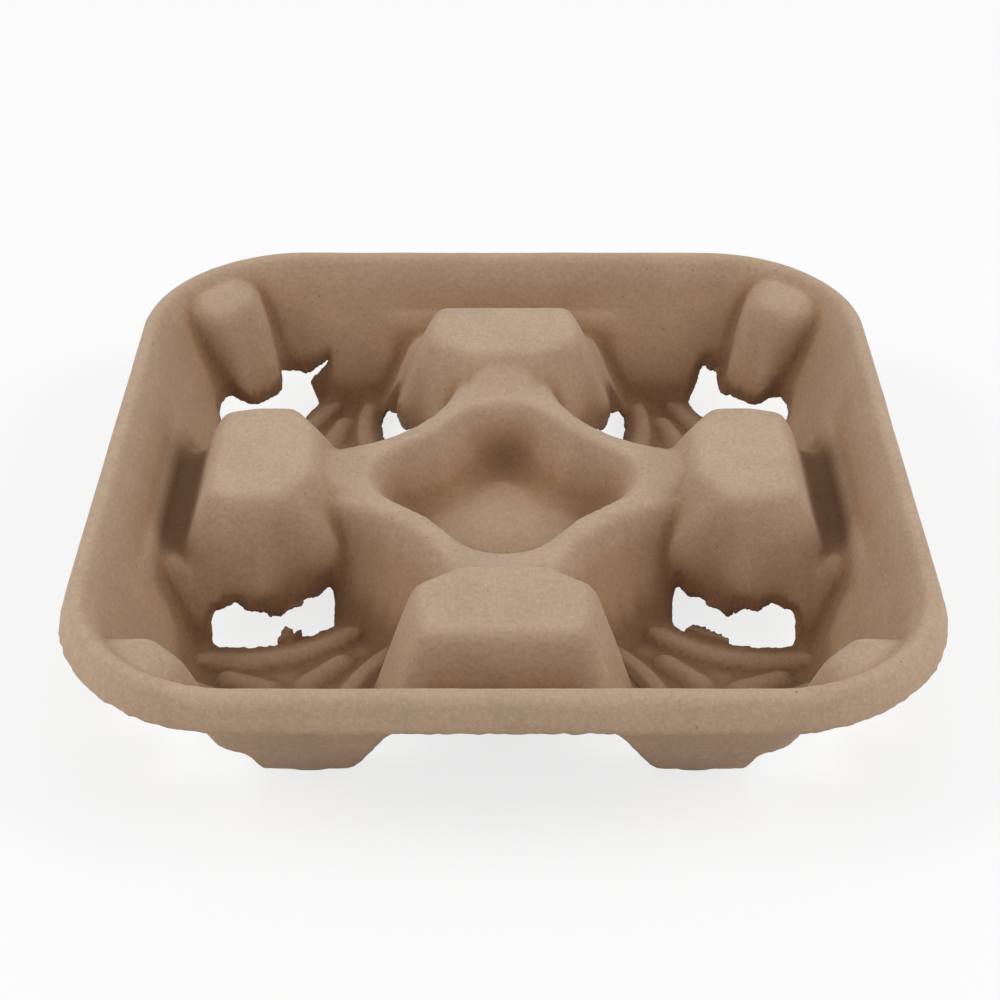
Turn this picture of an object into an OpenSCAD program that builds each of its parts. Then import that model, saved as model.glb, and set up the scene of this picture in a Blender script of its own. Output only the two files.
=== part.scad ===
/* [Tray] */
// Overall width across the trimmed skirt edge
tray_w = 215; // [205:1:235]
// Overall height from the feet to the rim crest
tray_h = 45; // [42:0.5:60]
// Thickness of the moulded pulp
wall = 2; // [1.4:0.1:2.4]

/* [Rim] */
// Outside radius of the rolled crest
roll_r = 3; // [2.6:0.1:3.4]
// Reach of the skirt edge beyond the middle of the roll
skirt_reach = 5; // [4:0.1:6.5]
// Drop of the skirt edge below the crest
skirt_drop = 8.4; // [6.5:0.1:12]
// Corner radius of the skirt edge
skirt_corner_r = 46; // [40:1:50]

/* [Cup pockets] */
// Distance between the axes of neighbouring pockets
pocket_pitch = 110; // [104:1:116]
// Diameter of the flat pocket floor
floor_d = 45; // [40:1:50]
// Fillet between the pocket floor and its wall
floor_fillet_r = 6; // [4:0.5:8]
// Width of the three stiffening ribs on each floor
rib_w = 7; // [4:0.5:8]
// Height of the ribs above the floor
rib_h = 2.2; // [1:0.1:3]
// Start of each rib from the pocket axis
rib_start = 4; // [3:0.5:9]
// End of each rib from the pocket axis
rib_end = 20; // [13:0.5:21]

/* [Hub] */
// Height of the ridge between the pockets and the centre well
ridge_h = 33.5; // [28:0.5:37]
// Radius of the ridge line about each pocket axis
ridge_line_r = 45.5; // [43:0.5:48]
// Rounding of the ridge crest
ridge_r = 3.5; // [2.8:0.1:5]
// Radius at which the pocket side of the hub meets the feet
hub_foot_r = 29.5; // [27:0.5:32]
// Height of the centre well floor
well_h = 15; // [9:0.5:19]
// Radius of the middle of the well at its edge
well_mid_r = 28; // [26:0.5:29]
// Distance from the tray centre to the end edge of the well, beside a tower
well_end = 35.5; // [33:0.5:37]
// Radius of each end of the well at its edge
well_end_r = 15.5; // [13:0.5:18]
// Rise of the hub from the end of the well to the inner end of a tower
bridge_rise = 6; // [4:0.5:8]
// Width of the hub's crest where it runs into a tower
bridge_w = 5; // [4:0.5:10]
// How far the well wall leans inward from its edge to its floor
well_lean = 6; // [3:0.5:8]
// Fillet at the foot of the well wall
well_fillet_r = 6; // [3:0.5:8]

/* [Towers] */
// Drop of the tower top below the crest
tower_drop = 3.5; // [3:0.5:9]
// Rounding of the tower edges
tower_edge_r = 5; // [3:0.5:6]
// Distance from the tray centre to the inner end of the flat top
tower_in = 53.5; // [50:0.5:57]
// Distance from the tray centre to the outer end of the flat top
tower_out = 74; // [72:0.5:77]
// Width of the flat top across its shoulders
tower_w = 37; // [32:0.5:41]
// Width of the flat top at its outer end
tower_out_w = 34; // [28:0.5:36]
// Width of the flat top at its inner end
tower_in_w = 19; // [14:0.5:24]
// Spread of each flank from the top to the feet
tower_spread = 13.5; // [9:0.5:16]
// Run of the inner face from the top to the feet
tower_in_run = 23; // [16:0.5:26]
// Run of the outer face from the top to the feet
tower_out_run = 15; // [11:0.5:17]

/* [Saddles] */
// Height of the saddle floor between a tower and the tray wall
saddle_h = 24; // [22:0.5:30]
// Width of the saddle floor
saddle_w = 48; // [40:1:52]
// Spread of each saddle flank from its floor to the feet
saddle_spread = 9; // [6:0.5:12]
// Height of the flare at the foot of the saddle flanks
saddle_flare_h = 8; // [5:0.5:10]
// Width of the flare at the foot of the saddle flanks
saddle_flare = 5; // [3:0.5:8]
// Rounding of the saddle edges
saddle_edge_r = 6; // [4:0.5:7]
// Height of the edge of the ledge that steps the tray wall beside a saddle
ledge_h = 29; // [26:0.5:32]
// Length of the ledge, with ends that fade into the wall
ledge_len = 88; // [80:1:100]
// Length of each fading end of the ledge
ledge_fade = 16; // [12:1:24]
// Distance from the tray centre to the face of the ledge
ledge_face = 91; // [89:0.5:93]
// Rise of the ledge's top from its edge back into the wall
ledge_rise = 3; // [1:0.5:4]
// Run of the ledge's top from its edge back into the wall
ledge_run = 4; // [3:0.5:6]
// Rounding of the ledge
ledge_r = 1.5; // [1:0.1:2]

/* [Corner fingers] */
// Drop of the finger edge below the crest
finger_drop = 5; // [4:0.5:10]
// Diagonal distance from the tray centre to the finger edge
finger_in = 110.5; // [108:0.5:113]
// Width of the finger face between its roundings
finger_w = 8; // [6:0.5:12]
// Run of the finger face from its edge to the feet
finger_run = 13; // [9:0.5:16]
// Width of the finger's top at the back of its flanks
finger_top_w = 19; // [15:0.5:24]
// Width of the finger's feet at the back of their flanks
finger_foot_w = 24; // [18:0.5:30]
// Distance that the flanks fall back from the finger face
finger_back = 8; // [5:0.5:10]
// Rounding of the finger edges
finger_edge_r = 6; // [4:0.5:7]

/* [Openings] */
// Distance from the tray centre to the axis of the tower openings
slot_axis = 70; // [67:0.5:73]
// Radius of the edge that a tower opening leaves in the floor
slot_r = 38.4; // [36.5:0.1:40]
// Distance from the tray centre to the inner end of a tower opening
slot_in = 44.5; // [42:0.5:48]
// Distance from the tray centre to the outer end of a tower opening
slot_out = 77.5; // [75:0.5:80]
// Height of the ends of a tower opening
slot_h = 13; // [11:0.5:15]
// Distance from the tray centre to the middle of a tower's tongue
tongue_axis = 57.5; // [54:0.5:62]
// Height of the tongue that hangs into a tower opening
tongue_h = 8.6; // [7:0.1:10]
// Radius of the edge of a tower's tongue
tongue_r = 19; // [15:0.5:30]
// Diagonal distance from the tray centre to the axis of a corner opening
corner_slot_axis = 140; // [136:0.5:144]
// Radius of the edge that a corner opening leaves in the floor
corner_slot_r = 45.3; // [42:0.1:47]
// Reach of a corner opening up the wall, from the pocket axis
corner_slot_reach = 36; // [34:0.5:38]
// Width of a corner opening
corner_slot_w = 34; // [30:0.5:38]
// Height of the ends of a corner opening
corner_slot_h = 13.8; // [12:0.1:15]
// Height of the tongue that hangs into a corner opening
corner_tongue_h = 10.6; // [9:0.1:11.5]
// Radius of the edge of a corner's tongue
corner_tongue_r = 16; // [13:0.5:24]
// Height of the lip above the floor around each opening
lip_h = 2.4; // [1:0.1:4]
// Width of the lip around each opening
lip_w = 7.6; // [5:0.1:9]
// Slant of the lip step
lip_slant = 1.2; // [0.4:0.1:2]

/* [Hidden] */
// How far a cut runs past the surface that it opens
overrun = 1;

// Height of the upright land on the trimmed skirt edge
edge_land = 0.6;

// Rim sizes, measured from the tray centre
skirt_half = tray_w / 2;
corner_axis = skirt_half - skirt_corner_r;
roll_axis = skirt_half - skirt_reach;
roll_z = tray_h - roll_r;
skirt_z = tray_h - skirt_drop;
skirt_angle = atan((skirt_reach - roll_r) / (roll_z - skirt_z));

// Basin sizes, with the wall tangent to the inner side of the roll
pocket_axis = pocket_pitch / 2;
floor_r = floor_d / 2;
wall_foot_r = floor_r + floor_fillet_r;
wall_rise = roll_z - wall - floor_fillet_r;
wall_angle = atan((roll_axis - roll_r - pocket_axis - wall_foot_r) / wall_rise);
basin_half = roll_axis - roll_r / cos(wall_angle);
wall_at_skirt = basin_half - (roll_z - skirt_z) * tan(wall_angle);

// Tower heights and plan
tower_h = tray_h - tower_drop;
tower_len = tower_out - tower_in;
// Places of the two shoulders along the flat top
shoulder_shares = [0.29, 0.72];
// Part of the flank spread that the narrow inner end takes
tower_end_share = 0.2;

// Finger plan, along the diagonal
finger_z = tray_h - finger_drop;
roll_reach = sqrt(2) * corner_axis + roll_axis - corner_axis;

// Directions of the floor ribs about a pocket axis: to the hub and between the openings
rib_turns = [225, 110, 340];
// Swing of the hub section about a pocket axis, into the towers on both sides
hub_start = 165;
hub_swing = 120;
// Rounding of the corners of the openings
slot_corner_r = 3;

// Number of sides on the swept, revolved and rounded shapes
sweep_fn = 36;
ring_fn = 48;
round_fn = 12;

// Repeats a shape at the four sides of the tray
module four_sides() {
    for (side = [0 : 3])
        rotate(side * 90) children();
}

// Repeats a shape at the four corners of the tray, drawn along +X
module four_corners() {
    for (side = [0 : 3])
        rotate(side * 90 + 45) children();
}

// Repeats a shape at the four pocket axes
module four_pockets() {
    four_sides()
        translate([pocket_axis, pocket_axis, 0]) children();
}

// Sweeps a section around the tray, drawn outward from the corner axis
module around_tray() {
    four_sides()
        translate([corner_axis, corner_axis, 0]) {
            rotate_extrude(angle = 90, $fn = sweep_fn) children();
            rotate([90, 0, 0]) linear_extrude(2 * corner_axis) children();
        }
}

// Section of the rim from the roll down to the skirt edge, inset from its surface
module rim_section(inset, drop) {
    foot_in = wall_at_skirt + wall / 2;
    foot_out = skirt_half - inset / cos(skirt_angle) + drop * tan(skirt_angle);
    hull() {
        translate([roll_axis - corner_axis, roll_z]) circle(roll_r - inset, $fn = round_fn);
        translate([foot_in - corner_axis, skirt_z - drop]) square([foot_out - foot_in, edge_land]);
    }
}

// Open basin that runs through all four pockets, grown beyond its surface
module basin(grow, lift) {
    top_r = basin_half - corner_axis + grow / cos(wall_angle);
    hull() {
        four_pockets()
            translate([0, 0, wall + floor_fillet_r])
                rotate_extrude($fn = sweep_fn)
                    translate([floor_r, 0]) circle(floor_fillet_r + grow, $fn = round_fn);
        four_sides()
            translate([corner_axis, corner_axis, roll_z - overrun])
                cylinder(
                    r1 = top_r - overrun * tan(wall_angle),
                    r2 = top_r + lift * tan(wall_angle),
                    h = overrun + lift,
                    $fn = sweep_fn
                );
    }
}

// Hull of balls on a list of places, mirrored across the X axis
module rounded_form(places, ball_r) {
    hull()
        for (place = places, flip = [-1, 1])
            translate([place.x, flip * place.y, place.z]) sphere(ball_r, $fn = round_fn);
}

// Tower at the middle of the +X side, inset from its surface
module tower(inset) {
    top_z = tower_h - tower_edge_r;
    inner_shoulder = tower_in + shoulder_shares[0] * tower_len;
    outer_shoulder = tower_in + shoulder_shares[1] * tower_len;
    end_foot = tower_in_w / 2 + tower_end_share * tower_spread;
    rounded_form([
        [tower_in, tower_in_w / 2, top_z],
        [inner_shoulder, tower_w / 2, top_z],
        [outer_shoulder, tower_w / 2, top_z],
        [tower_out, tower_out_w / 2, top_z],
        [tower_in - tower_in_run, end_foot, 0],
        [outer_shoulder, tower_w / 2 + tower_spread, 0],
        [tower_out + tower_out_run, tower_out_w / 2 + tower_spread, 0]
    ], tower_edge_r - inset);
}

// Saddle from a tower out through the tray wall, inset from its surface
module saddle(inset) {
    top_z = saddle_h - saddle_edge_r;
    foot_half = saddle_w / 2 + saddle_spread;
    rounded_form([
        [tower_out, saddle_w / 2, top_z],
        [skirt_half, saddle_w / 2, top_z],
        [tower_out, foot_half, 0],
        [skirt_half, foot_half, 0]
    ], saddle_edge_r - inset);
    rounded_form([
        [tower_out, foot_half - saddle_flare, saddle_flare_h],
        [skirt_half, foot_half - saddle_flare, saddle_flare_h],
        [tower_out, foot_half + saddle_flare, -saddle_edge_r],
        [skirt_half, foot_half + saddle_flare, -saddle_edge_r]
    ], saddle_edge_r - inset);
}

// Step along the tray wall beside a saddle, sunk into the wall at its ends
module ledge() {
    edge = ledge_face + ledge_r;
    edge_z = ledge_h - ledge_r;
    full_half = ledge_len / 2 - ledge_fade;
    rounded_form([
        [edge, full_half, edge_z],
        [edge + ledge_run, full_half, edge_z + ledge_rise],
        [edge + ledge_r, ledge_len / 2, edge_z],
        [edge, full_half, wall],
        [edge + ledge_r, ledge_len / 2, wall]
    ], ledge_r);
}

// Finger in the +X corner, inset from its surface
module finger(inset) {
    front = finger_in + finger_edge_r;
    foot = front - finger_run;
    top_half = finger_top_w / 2;
    foot_half = finger_foot_w / 2;
    top_z = finger_z - finger_edge_r;
    back_z = roll_z - finger_edge_r;
    rounded_form([
        [front, finger_w / 2, top_z],
        [front + finger_back, top_half, (top_z + back_z) / 2],
        [roll_reach - finger_edge_r, finger_w / 2, back_z],
        [foot, finger_w / 2, 0],
        [foot + finger_back, foot_half, 0],
        [roll_reach, finger_w / 2, 0]
    ], finger_edge_r - inset);
}

// Section of the hub from the pocket floor over the ridge and across the middle, about a pocket axis
module hub_section(inset) {
    far = 2 * pocket_axis;
    deep = 2 * wall + overrun;
    offset(delta = -inset)
        hull() {
            translate([ridge_line_r, ridge_h - ridge_r]) circle(ridge_r, $fn = round_fn);
            polygon([
                [hub_foot_r, 0],
                [hub_foot_r, -deep],
                [far, -deep],
                [far, ridge_h]
            ]);
        }
}

// Hub between the pockets, inset from its surface, each pocket's part in its own quarter
module hub(inset) {
    four_sides()
        intersection() {
            translate([pocket_axis, pocket_axis, 0])
                rotate(hub_start)
                    rotate_extrude(angle = hub_swing, $fn = sweep_fn) hub_section(inset);
            translate([-overrun, -overrun, -tray_h])
                cube([tower_out + overrun, tower_out + overrun, 2 * tray_h]);
        }
}

// Ramp that climbs from the end of the well to the top of a tower, inset from its surface
module bridge(inset) {
    top_z = ridge_h - ridge_r;
    crest = well_end + ridge_r;
    half = pocket_axis - ridge_line_r;
    rounded_form([
        [crest, half, top_z],
        [tower_in, bridge_w / 2, top_z + bridge_rise],
        [tower_in, half, top_z],
        [crest, half, 0],
        [tower_in, half, 0]
    ], ridge_r - inset);
}

// Bowl with an upright axis, sunk from the hub's top to the floor of the well, grown beyond its surface
module bowl(edge_r, grow) {
    depth = ridge_h - well_h;
    lean = atan(well_lean / depth);
    foot_r = edge_r - well_lean - well_fillet_r;
    round_r = well_fillet_r + grow;
    translate([0, 0, well_h + well_fillet_r])
        rotate_extrude($fn = sweep_fn)
            intersection() {
                translate([foot_r, 0]) circle(round_r, $fn = round_fn);
                translate([0, -round_r]) square([foot_r + round_r, 2 * round_r]);
            }
    translate([0, 0, ridge_h])
        cylinder(r1 = edge_r + grow / cos(lean), r2 = edge_r + well_lean + grow, h = depth, $fn = sweep_fn);
}

// Centre well with a round end beside every tower, grown beyond its surface
module well(grow) {
    four_sides()
        hull() {
            bowl(well_mid_r, grow);
            translate([well_end - well_end_r, 0, 0]) bowl(well_end_r, grow);
        }
}

// Raised lips around the openings in the pocket floors, inset from their surface
module lips(inset) {
    top_z = wall + lip_h - inset;
    four_sides()
        translate([slot_axis, 0, -overrun])
            lip(slot_r + lip_w - inset, top_z + overrun);
    four_corners()
        translate([corner_slot_axis, 0, -overrun])
            lip(corner_slot_r + lip_w - inset, top_z + overrun);
}

// One lip, a low round step with a slanted side
module lip(foot_r, height) {
    cylinder(r1 = foot_r, r2 = foot_r - lip_slant, h = height, $fn = ring_fn);
}

// Three ribs on the floor of every pocket
module ribs() {
    rib_r = (rib_w * rib_w / 4 + rib_h * rib_h) / (2 * rib_h);
    four_pockets()
        for (turn = rib_turns)
            rotate(turn)
                rounded_form([
                    [rib_start + rib_h, 0, wall + rib_h - rib_r],
                    [rib_end - rib_h, 0, wall + rib_h - rib_r]
                ], rib_r);
}

// Everything that stands up inside the basin, inset from its surface
module risers(inset) {
    four_sides() {
        tower(inset);
        saddle(inset);
    }
    four_corners() finger(inset);
    lips(inset);
    difference() {
        union() {
            hub(inset);
            four_sides() bridge(inset);
        }
        well(inset);
    }
}

// Openings under both flanks of a tower, with the tongue left between their ends
module tower_openings() {
    intersection() {
        translate([slot_axis, 0, -overrun])
            cylinder(r = slot_r, h = slot_h + 2 * overrun, $fn = ring_fn);
        rotate([90, 0, 0])
            linear_extrude(2 * slot_r, center = true)
                difference() {
                    translate([slot_in, -tray_h])
                        rounded_plate(slot_out - slot_in, slot_h + tray_h, slot_corner_r);
                    translate([tongue_axis, tongue_h + tongue_r]) circle(tongue_r, $fn = ring_fn);
                }
    }
}

// Rectangle with round corners, drawn from its lower left corner
module rounded_plate(width, height, corner_r) {
    hull()
        for (x = [corner_r, width - corner_r], y = [corner_r, height - corner_r])
            translate([x, y]) circle(corner_r, $fn = round_fn);
}

// Crescent opening under a corner finger
module corner_opening() {
    intersection() {
        translate([corner_slot_axis, 0, -overrun])
            cylinder(r = corner_slot_r, h = corner_slot_h + 2 * overrun, $fn = ring_fn);
        translate([pocket_axis * sqrt(2), 0, -overrun])
            cylinder(r = corner_slot_reach, h = corner_slot_h + 2 * overrun, $fn = ring_fn);
        rotate([90, 0, 90])
            linear_extrude(corner_slot_axis)
                difference() {
                    translate([-corner_slot_w / 2, -tray_h])
                        rounded_plate(corner_slot_w, corner_slot_h + tray_h, slot_corner_r);
                    translate([0, corner_tongue_h + corner_tongue_r])
                        circle(corner_tongue_r, $fn = ring_fn);
                }
    }
}

// One-piece moulded tray: the upper surface less the same surface set in by the wall
module pulp_tray() {
    color("#b39a84")
        difference() {
            union() {
                around_tray() rim_section(0, 0);
                basin(wall, 0);
            }
            difference() {
                basin(0, overrun);
                risers(0);
                four_sides() ledge();
                ribs();
            }
            difference() {
                around_tray() rim_section(wall, overrun);
                basin(wall, overrun);
            }
            risers(wall);
            four_sides() tower_openings();
            four_corners() corner_opening();
        }
}

pulp_tray();
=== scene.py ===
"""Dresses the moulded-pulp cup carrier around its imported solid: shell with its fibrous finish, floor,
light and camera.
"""

import logging
import math
from dataclasses import dataclass, field
from enum import Enum
from typing import ClassVar

import bpy
import numpy as np
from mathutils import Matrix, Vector, noise
from mathutils.bvhtree import BVHTree
from mathutils.geometry import delaunay_2d_cdt


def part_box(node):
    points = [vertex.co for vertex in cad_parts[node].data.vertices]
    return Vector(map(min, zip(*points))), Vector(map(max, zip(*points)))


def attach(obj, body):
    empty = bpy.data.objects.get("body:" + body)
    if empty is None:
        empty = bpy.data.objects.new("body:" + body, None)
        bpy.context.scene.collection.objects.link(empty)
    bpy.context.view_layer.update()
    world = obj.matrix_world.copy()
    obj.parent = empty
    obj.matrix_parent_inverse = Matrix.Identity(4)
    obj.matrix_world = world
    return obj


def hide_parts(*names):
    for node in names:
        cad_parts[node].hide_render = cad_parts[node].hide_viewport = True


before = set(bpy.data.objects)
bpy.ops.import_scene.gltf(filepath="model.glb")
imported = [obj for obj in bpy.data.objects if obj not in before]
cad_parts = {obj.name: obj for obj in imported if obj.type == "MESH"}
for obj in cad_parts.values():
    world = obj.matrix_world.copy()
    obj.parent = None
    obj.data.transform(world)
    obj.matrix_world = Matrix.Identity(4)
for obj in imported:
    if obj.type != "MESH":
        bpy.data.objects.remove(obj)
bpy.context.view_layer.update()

LOG = logging.getLogger("cup_carrier")
NODE = "pulp_tray"
PIECE = "pulp_shell"
BODY = "root"
# Name of the point attribute that carries the painted shade
SHADE_ATTRIBUTE = "painted_shade"
MM = 0.001
# Least divisor, which keeps a division finite
TINY = 0.001
WHITE = "#ffffff"
QUARTER_TURN = np.array([[0.0, -1.0], [1.0, 0.0]])


class Torn(Enum):
    """What a torn place does to the pulp beside an opening."""

    AWAY = "pulp is missing"
    LEFT = "pulp is left standing in the opening"


class Unevenness(Enum):
    """Kinds of unevenness in the pulp, each with the shift that sets its noise apart from the others."""

    FRAY = 9.1
    TEAR = 11.3
    FINE_TEAR = 5.7
    TRIM = 3.1
    TRIM_BUMPS = 7.9
    SWELL = 1.7
    RIPPLE = 8.2
    PITS = 4.4
    FUZZ = 6.6


@dataclass(frozen=True)
class TornPlace:
    """A tapered stroke on the plan of the tray, in millimetres, that tears pulp away or leaves some.

    Attributes:
        kind: Whether pulp is missing or left.
        start: Where the stroke starts.
        end: Where it ends.
        start_half: Half of its width at the start.
        end_half: Half of its width at the end.
        level: Height of the pulp that is left, or none where it runs on from what is around it.
        lift: How much higher the end of that pulp is bent.
        fray: Depth of the fraying along the stroke.
        bend_power: How late along the stroke the bend comes.
        settling: Shares of opening between which the pulp goes over to its own level.
    """

    kind: Torn
    start: tuple[float, float]
    end: tuple[float, float]
    start_half: float
    end_half: float
    level: float | None = None
    lift: float = 0.0
    fray: float = 0.0
    bend_power: ClassVar[float] = 1.5
    settling: ClassVar[tuple[float, float]] = (0.3, 0.6)

    def share(self, plan: np.ndarray) -> np.ndarray:
        """Gives how far along the stroke plan points lie, from zero at its start to one at its end."""
        run = np.array(self.end) - np.array(self.start)
        return np.clip((plan - np.array(self.start)) @ run / (run @ run), 0.0, 1.0)

    def distance(self, plan: np.ndarray) -> np.ndarray:
        """Measures how far plan points lie outside the stroke.

        Args:
            plan: Points on the plan, one a row.

        Returns:
            Distance to the stroke's edge, negative inside it.
        """
        start = np.array(self.start)
        share = self.share(plan)
        gap = np.linalg.norm(plan - start - share[:, None] * (np.array(self.end) - start), axis=1)
        return gap - self.start_half - share * (self.end_half - self.start_half)

    def settled(self, plan: np.ndarray, height: np.ndarray, open_share: np.ndarray) -> np.ndarray:
        """Settles the pulp that is left standing in an opening at its own level, bent up towards its end.

        Args:
            plan: Points on the plan, one a row.
            height: Height of the surface at the points.
            open_share: Share of opening at the points.

        Returns:
            The heights, changed within the stroke.
        """
        if self.level is None:
            return height
        run = np.array(self.end) - np.array(self.start)
        length = np.linalg.norm(run)
        progress = (plan - np.array(self.start)) @ run / length / (length + self.end_half)
        bent = self.level + self.lift * np.clip(progress, 0.0, 1.0) ** self.bend_power
        share = eased(open_share, *self.settling) * (self.distance(plan) < self.end_half / 2)
        return height + (bent - height) * share


# Torn places beside the openings, one tower or finger after another
TORN_PLACES = [
    # Front side of the left tower: a tab left on the floor's edge and bent up, and an uneven flank above
    TornPlace(Torn.LEFT, (-57.0, -38.0), (-56.7, -36.6), 2.5, 2.5, level=4.4, lift=3.2, fray=0.3),
    TornPlace(Torn.LEFT, (-56.0, -36.4), (-54.2, -35.0), 1.2, 0.7, level=5.6, lift=2.4, fray=0.2),
    TornPlace(Torn.AWAY, (-66.1, -34.1), (-58.9, -31.8), 0.8, 0.8, fray=0.15),
    TornPlace(Torn.LEFT, (-58.4, -30.5), (-53.8, -28.1), 0.7, 1.0, fray=0.15),
    # Front side of the right tower: frayed pulp left on the floor's edge, and an uneven flank above
    TornPlace(Torn.LEFT, (50.5, -32.5), (57.5, -36.0), 3.0, 1.5, level=4.4, lift=0.4, fray=0.8),
    TornPlace(Torn.AWAY, (60.2, -32.0), (66.3, -33.8), 0.8, 0.8, fray=0.15),
    TornPlace(Torn.LEFT, (54.2, -28.2), (58.9, -30.3), 0.9, 0.8, fray=0.15),
    TornPlace(Torn.LEFT, (65.5, -32.1), (69.5, -31.9), 0.7, 0.7, fray=0.15),
    # Back left finger: a slit up the wall, a spike and a nick
    TornPlace(Torn.AWAY, (-61.0, 84.8), (-55.0, 87.3), 0.75, 0.12, fray=0.2),
    TornPlace(Torn.AWAY, (-60.5, 81.5), (-57.2, 80.9), 1.2, 0.2),
    TornPlace(Torn.AWAY, (-63.5, 76.5), (-61.4, 73.2), 0.35, 0.15),
    # Back right finger: a hole pulled up the wall, with pulp left between it and the finger
    TornPlace(Torn.LEFT, (68.6, 77.0), (67.6, 84.6), 2.2, 2.4, fray=0.3),
    TornPlace(Torn.AWAY, (62.4, 84.2), (62.4, 83.2), 2.0, 2.0, fray=0.2),
    # Front tower: pulp left at its feet
    TornPlace(Torn.LEFT, (-32.3, -50.6), (-35.6, -60.0), 1.8, 1.7, level=4.2, fray=0.3),
    TornPlace(Torn.LEFT, (31.8, -50.0), (35.6, -60.0), 1.9, 1.7, level=4.2, fray=0.3),
    # Back tower: pulp left behind the holes at its feet
    TornPlace(Torn.LEFT, (-36.0, 81.0), (-34.5, 77.2), 3.2, 1.8, level=5.0, fray=0.3),
    TornPlace(Torn.LEFT, (36.0, 81.0), (34.5, 77.2), 3.2, 1.8, level=5.0, fray=0.3),
]


def linear(hex_colour: str) -> tuple[float, float, float, float]:
    """Turns an sRGB colour into the linear values that a shader takes.

    Args:
        hex_colour: Colour as six hex digits after a hash.

    Returns:
        Linear red, green and blue, with an alpha of one.
    """
    parts = [int(hex_colour[i:i + 2], 16) / 255 for i in (1, 3, 5)]
    flat = [p / 12.92 if p <= 0.04045 else ((p + 0.055) / 1.055) ** 2.4 for p in parts]
    return (flat[0], flat[1], flat[2], 1.0)


def per_metre(size_mm: float) -> float:
    """Gives the texture scale at which a pattern repeats about every so many millimetres."""
    return 1.0 / (size_mm * MM)


def add_node(
    tree: bpy.types.NodeTree,
    kind: str,
    settings: dict[str, object] | None = None,
    values: dict[str | int, object] | None = None,
    links: dict[str | int, bpy.types.NodeSocket] | None = None,
) -> bpy.types.Node:
    """Adds a node to a tree, with its settings, socket values and links.

    Args:
        tree: Tree that takes the node.
        kind: Name of the node type.
        settings: Attributes of the node.
        values: Values of input sockets, by name or number.
        links: Output sockets that feed input sockets, by name or number.

    Returns:
        The new node.
    """
    node = tree.nodes.new(kind)
    for name, setting in (settings or {}).items():
        setattr(node, name, setting)
    for key, value in (values or {}).items():
        node.inputs[key].default_value = value
    for key, socket in (links or {}).items():
        tree.links.new(socket, node.inputs[key])
    return node


def new_tree(name: str) -> tuple[bpy.types.Material, bpy.types.NodeTree]:
    """Makes a material with an empty node tree.

    Args:
        name: Name of the material.

    Returns:
        The material and its tree.
    """
    material = bpy.data.materials.new(name)
    material.use_nodes = True
    material.node_tree.nodes.clear()
    return material, material.node_tree


def unevenness(points: np.ndarray, size: float, kind: Unevenness) -> np.ndarray:
    """Reads smooth noise at points.

    Args:
        points: Points in millimetres, one a row, on the plan or in space.
        size: Distance over which the noise changes, in millimetres.
        kind: Which of the pulp's kinds of unevenness is read.

    Returns:
        One value a point, mostly within one of zero.
    """
    spread = np.zeros((len(points), 3))
    spread[:, :points.shape[1]] = points / size
    spread += kind.value
    return np.array([noise.noise(Vector(p)) for p in spread])


def eased(value: np.ndarray, low: float, high: float) -> np.ndarray:
    """Turns values into shares that ease from zero at one bound to one at the other.

    Args:
        value: Values to turn.
        low: Value at which the share is zero.
        high: Value at which the share is one.

    Returns:
        One share a value.
    """
    share = np.clip((value - low) / (high - low), 0.0, 1.0)
    return share * share * (3 - 2 * share)


def slide(grid: np.ndarray, kernel: np.ndarray, axis: int) -> np.ndarray:
    """Slides a kernel along one axis of a raster, with nothing beyond its edges.

    Args:
        grid: Raster of values.
        kernel: Odd number of weights.
        axis: Axis to slide along.

    Returns:
        Raster of weighted sums.
    """
    reach = len(kernel) // 2
    margins = [(0, 0), (0, 0)]
    margins[axis] = (reach, reach)
    wide = np.pad(grid, margins)
    return np.lib.stride_tricks.sliding_window_view(wide, len(kernel), axis=axis) @ kernel


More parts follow.
